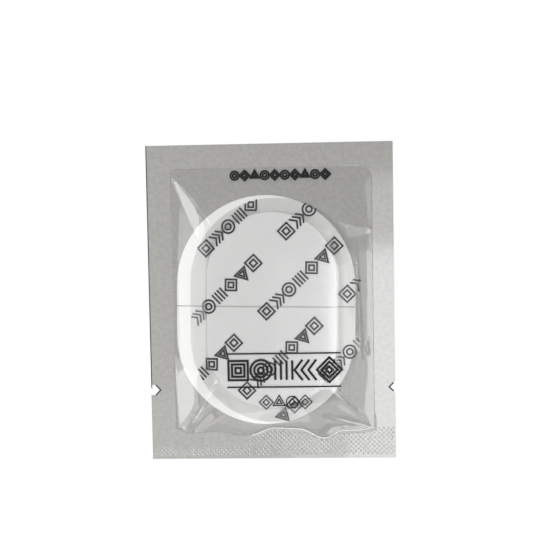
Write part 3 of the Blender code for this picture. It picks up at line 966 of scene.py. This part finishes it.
def crimp_tree():
    """Small blunt pyramids on a diagonal lattice, left out wherever a keep-out sheet lies below."""
    tree = bpy.data.node_groups.new("seal crimp", "GeometryNodeTree")
    given = open_sockets(tree, {
        "Width": "Float", "Length": "Float", "Pitch": "Float", "Base": "Float", "Crown": "Float",
        "Height": "Float", "Level": "Float", "Light X": "Float", "Hard X": "Float", "Soft X": "Float",
        "Rim Y": "Float", "Rim Fade": "Float", "Foil": "Material"})
    across = add(tree, "ShaderNodeMath", {0: given["Width"], 1: given["Pitch"]}, operation="DIVIDE")
    along = add(tree, "ShaderNodeMath", {0: given["Length"], 1: given["Pitch"]}, operation="DIVIDE")
    first = add(tree, "GeometryNodeMeshGrid", {
        "Size X": given["Width"], "Size Y": given["Length"],
        "Vertices X": across.outputs[0], "Vertices Y": along.outputs[0]})
    half = add(tree, "ShaderNodeMath", {0: given["Pitch"], 1: 0.5}, operation="MULTIPLY").outputs[0]
    nudge = add(tree, "ShaderNodeCombineXYZ", {"X": half, "Y": half})
    second = add(tree, "GeometryNodeTransform", {
        "Geometry": first.outputs[0], "Translation": nudge.outputs[0]})
    both = add(tree, "GeometryNodeJoinGeometry", {0: first.outputs[0]})
    tree.links.new(second.outputs[0], both.inputs[0])
    rise = add(tree, "ShaderNodeCombineXYZ", {"Z": given["Level"]})
    lifted = add(tree, "GeometryNodeSetPosition", {"Geometry": both.outputs[0], "Offset": rise.outputs[0]})
    keep_out = add(tree, "GeometryNodeRaycast", {
        "Target Geometry": given["Geometry"], "Ray Direction": (0.0, 0.0, -1.0), "Ray Length": 1.0})
    kept = add(tree, "GeometryNodeDeleteGeometry", {
        "Geometry": lifted.outputs[0], "Selection": keep_out.outputs["Is Hit"]}, domain="POINT")
    pyramid = add(tree, "GeometryNodeMeshCone", {
        "Vertices": 4, "Radius Top": given["Crown"], "Radius Bottom": given["Base"],
        "Depth": given["Height"]})
    place = add(tree, "GeometryNodeInputPosition").outputs[0]
    where = add(tree, "ShaderNodeSeparateXYZ", {0: place}).outputs
    along_seal = add(tree, "ShaderNodeMapRange", {
        "Value": where["X"], "From Min": given["Light X"], "From Max": given["Hard X"],
        "To Min": 0.1, "To Max": 0.8})
    to_right = add(tree, "ShaderNodeMapRange", {
        "Value": where["X"], "From Min": given["Hard X"], "From Max": given["Soft X"],
        "To Min": 0.0, "To Max": -0.5})
    body = add(tree, "ShaderNodeMath", {0: along_seal.outputs[0], 1: to_right.outputs[0]}, operation="ADD")
    rim_end = add(tree, "ShaderNodeMath", {0: given["Rim Y"], 1: given["Rim Fade"]}, operation="ADD")
    at_rim = add(tree, "ShaderNodeMapRange", {
        "Value": where["Y"], "From Min": given["Rim Y"], "From Max": rim_end.outputs[0],
        "To Min": 0.4, "To Max": 0.0})
    both_ways = add(tree, "ShaderNodeMath", {0: body.outputs[0], 1: at_rim.outputs[0]}, operation="ADD")
    # Patches 4 or 5 mm across that the jaws pressed harder and softer
    patches = add(tree, "ShaderNodeTexNoise", {"Vector": place, "Scale": 220.0, "Detail": 1.0})
    uneven = add(tree, "ShaderNodeMapRange", {
        "Value": patches.outputs["Fac"], "From Min": 0.35, "From Max": 0.6, "To Min": 0.35, "To Max": 1.25})
    pressed = add(tree, "ShaderNodeMath", {0: both_ways.outputs[0], 1: uneven.outputs[0]},
                  operation="MULTIPLY")
    flattened = add(tree, "ShaderNodeCombineXYZ", {"X": 1.0, "Y": 1.0, "Z": pressed.outputs[0]})
    dots = add(tree, "GeometryNodeInstanceOnPoints", {
        "Points": kept.outputs[0], "Instance": pyramid.outputs[0], "Rotation": (0.0, 0.0, math.pi / 4),
        "Scale": flattened.outputs[0]})
    real = add(tree, "GeometryNodeRealizeInstances", {0: dots.outputs[0]})
    done = add(tree, "GeometryNodeSetMaterial", {"Geometry": real.outputs[0], "Material": given["Foil"]})
    add(tree, "NodeGroupOutput", {0: done.outputs[0]})
    return tree


def make_crimp(foil):
    """Raised dots that the sealing jaws leave on the bottom seal, clear of the pocket and the notches."""
    half_x = pouch_high.x + MM
    top_y = pouch_high.y + MM
    above_seal = [(-half_x, CRIMP_TOP_Y), (half_x, CRIMP_TOP_Y), (half_x, top_y), (-half_x, top_y)]
    notches = [[base + point * CRIMP_NOTCH_CLEAR for point in outline] for base, outline in tear_notches()]
    points, faces = joined([
        ([(*point, KEEP_OUT_Z) for point in outline], [tuple(range(len(outline)))])
        for outline in (pocket_outline(*POCKET), above_seal, *notches)])
    sheet = mesh_object("crimp_ground", points, faces)
    press = sheet.modifiers.new("crimp", "NODES")
    press.node_group = crimp_tree()
    inset = 2 * CRIMP_PITCH
    set_inputs(press, {
        "Width": 2 * pouch_high.x - inset, "Length": 2 * pouch_high.y - inset, "Pitch": CRIMP_PITCH,
        "Base": CRIMP_BASE / 2, "Crown": CRIMP_CROWN / 2, "Height": CRIMP_HEIGHT,
        "Level": SEAL_Z + FILM_THICK, "Light X": CRIMP_LIGHT_X, "Hard X": CRIMP_HARD_X,
        "Soft X": CRIMP_SOFT_X, "Rim Y": CRIMP_RIM_Y, "Rim Fade": CRIMP_RIM_FADE, "Foil": foil})
    obj = finished(sheet, "seal_crimp")
    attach(obj, "root")


# Camera, lights and floor


def make_camera():
    camera = bpy.data.objects.new("camera", bpy.data.cameras.new("camera"))
    bpy.context.scene.collection.objects.link(camera)
    camera.data.sensor_width = SENSOR_MM
    camera.data.lens = SENSOR_MM * FOCAL_PX / FRAME_PX
    camera.data.clip_start = 0.01
    turn = (Matrix.Rotation(math.radians(CAMERA_TILT_X), 4, "X")
            @ Matrix.Rotation(math.radians(CAMERA_TILT_Y), 4, "Y")
            @ Matrix.Rotation(math.radians(CAMERA_ROLL), 4, "Z"))
    back_off = Matrix.Translation((0, 0, CAMERA_DISTANCE))
    camera.matrix_world = Matrix.Translation(CAMERA_AIM) @ turn @ back_off
    bpy.context.scene.camera = camera


def softbox(name, tilt_x, tilt_y, spread_x, spread_y, radiance):
    """A rectangular lamp over the sachet: where it stands, how wide it looks, and how bright it is."""
    light = bpy.data.objects.new(name, bpy.data.lights.new(name, "AREA"))
    bpy.context.scene.collection.objects.link(light)
    light.data.shape = "RECTANGLE"
    light.data.size = 2 * LAMP_DISTANCE * math.tan(math.radians(spread_x / 2))
    light.data.size_y = 2 * LAMP_DISTANCE * math.tan(math.radians(spread_y / 2))
    light.data.energy = radiance * math.pi * light.data.size * light.data.size_y
    light.matrix_world = (Matrix.Rotation(math.radians(-tilt_y), 4, "X")
                          @ Matrix.Rotation(math.radians(tilt_x), 4, "Y")
                          @ Matrix.Translation((0, 0, LAMP_DISTANCE)))


def make_studio():
    """White to the camera, a soft grey room to the sachet, lamps, and a white floor that keeps a shadow."""
    scene = bpy.context.scene
    scene.view_settings.view_transform = "Standard"
    world = bpy.data.worlds.new("studio")
    scene.world = world
    world.use_nodes = True
    tree = world.node_tree
    tree.nodes.clear()
    rays = add(tree, "ShaderNodeLightPath").outputs
    room = add(tree, "ShaderNodeBackground", {"Color": srgb("#ffffff"), "Strength": ROOM_LIGHT})
    white = add(tree, "ShaderNodeBackground", {"Color": srgb("#ffffff"), "Strength": 1.0})
    seen = add(tree, "ShaderNodeMixShader", {
        0: rays["Is Camera Ray"], 1: room.outputs[0], 2: white.outputs[0]})
    add(tree, "ShaderNodeOutputWorld", {"Surface": seen.outputs[0]})
    for lamp in LAMPS:
        softbox(*lamp)

    corners = [(x * FLOOR_HALF, y * FLOOR_HALF, FLOOR_Z) for x, y in ((-1, -1), (1, -1), (1, 1), (-1, 1))]
    material, tree = new_material("white paper sweep")
    rays = add(tree, "ShaderNodeLightPath").outputs
    paper = add(tree, "ShaderNodeBsdfDiffuse", {"Color": srgb("#f4f4f4")})
    glow = add(tree, "ShaderNodeEmission", {"Color": srgb("#ffffff"), "Strength": 1.0})
    share = add(tree, "ShaderNodeMath", {0: rays["Is Camera Ray"], 1: FLOOR_GLOW}, operation="MULTIPLY")
    mixed = add(tree, "ShaderNodeMixShader", {0: share.outputs[0], 1: paper.outputs[0], 2: glow.outputs[0]})
    add(tree, "ShaderNodeOutputMaterial", {"Surface": mixed.outputs[0]})
    floor = mesh_object("floor", corners, [(0, 1, 2, 3)], (material,))


def dress_node(name, material):
    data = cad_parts[name].data
    data.materials.clear()
    data.materials.append(material)


make_camera()
make_studio()
foil = foil_laminate("matt aluminium foil laminate", film_over_it=False)
welded_foil = foil_laminate("foil laminate under welded film", film_over_it=True)
liner = release_liner()
ink = black_ink()
dress_node("back_web", foil)
dress_node("liner_upper_half", liner)
dress_node("liner_lower_half", liner)
make_gel(hydrogel())
cover_film = clear_film("clear polyethylene cover film", shine=0.018, roughness=0.18)
pouch_film = clear_film("clear polyester pouch film", shine=0.05, roughness=0.08)
cover_surface, cover_outline = make_cover_film(cover_film)
front_surface = make_front_film(pouch_film, welded_foil)
make_peel_print(cover_surface, cover_outline, ink)
make_front_print(front_surface, ink)
make_sealant_bead(front_surface, squeezed_sealant())
# Painted shade: thin dark lines down the left edge and round both tear notches
make_painted_edge_shade(painted_edge_shade_material())
make_crimp(welded_foil)
